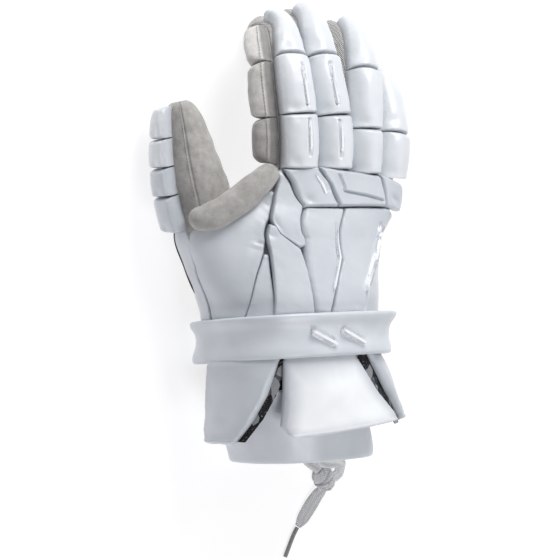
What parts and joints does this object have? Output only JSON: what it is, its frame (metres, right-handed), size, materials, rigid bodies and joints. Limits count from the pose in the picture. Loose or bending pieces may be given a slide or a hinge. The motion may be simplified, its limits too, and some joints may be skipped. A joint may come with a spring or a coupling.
{
  "type": "lacrosse glove",
  "caption": "Padded lacrosse glove for the right hand, white with a grey suede palm, segmented finger rolls, a wrist strap, flared cuff flaps and a flat lace.",
  "frame": {"origin": "on the flat underside of the wrist strap, where the glove rests on a floor palm down", "axes": "+X towards the little finger, +Y towards the fingertips, +Z out of the back of the hand"},
  "size_m": [0.2152, 0.4206, 0.1153],
  "materials": {
    "white_leather": "smooth coated synthetic leather over foam",
    "suede": "napped synthetic suede",
    "silver_trim": "bright plated film",
    "flap_lining": "printed knit",
    "liner_fabric": "brushed knit",
    "lace_fabric": "flat woven lace",
    "aglet": "clear film over cord"
  },
  "bodies": {
    "root": {"back_edge_strip": "white_leather", "back_pad_centre": "white_leather", "back_pad_lower_left": "white_leather", "back_pad_right": "white_leather", "back_pad_triangle": "white_leather", "back_shell": "white_leather", "cuff_flap_centre": "white_leather", "cuff_flap_left": "white_leather", "cuff_flap_right": "white_leather", "cuff_sleeve": "white_leather", "index_roll_1": "white_leather", "index_roll_2": "white_leather", "index_roll_3": "white_leather", "index_side_pad_1": "suede", "index_side_pad_2": "suede", "index_side_pad_3": "suede", "index_stall": "suede", "knuckle_nub": "white_leather", "knuckle_pad_left": "white_leather", "knuckle_pad_right": "white_leather", "lace_aglet": "aglet", "lace_knot": "lace_fabric", "lace_loop": "lace_fabric", "lace_strand": "lace_fabric", "lace_tail": "lace_fabric", "lining_left": "flap_lining", "lining_right": "flap_lining", "middle_roll_1": "white_leather", "middle_roll_2": "white_leather", "middle_roll_3": "white_leather", "middle_stall": "suede", "palm_suede": "suede", "pinky_roll_1": "white_leather", "pinky_roll_2": "white_leather", "pinky_stall": "suede", "ring_roll_1": "white_leather", "ring_roll_2": "white_leather", "ring_roll_3": "white_leather", "ring_stall": "suede", "side_panel": "white_leather", "side_panel_lower": "white_leather", "strap_bar_1": "silver_trim", "strap_bar_2": "silver_trim", "thumb_roll_1": "white_leather", "thumb_roll_2": "white_leather", "thumb_roll_3": "white_leather", "thumb_roll_4": "white_leather", "thumb_side_strip": "white_leather", "thumb_stall": "suede", "trim_back_centre": "silver_trim", "trim_back_right": "silver_trim", "trim_index_1": "silver_trim", "trim_index_2": "silver_trim", "trim_knuckle": "silver_trim", "trim_middle_1": "silver_trim", "trim_middle_2": "silver_trim", "web_roll": "suede", "wrist_liner": "liner_fabric", "wrist_strap": "white_leather"}
  },
  "joints": []
}
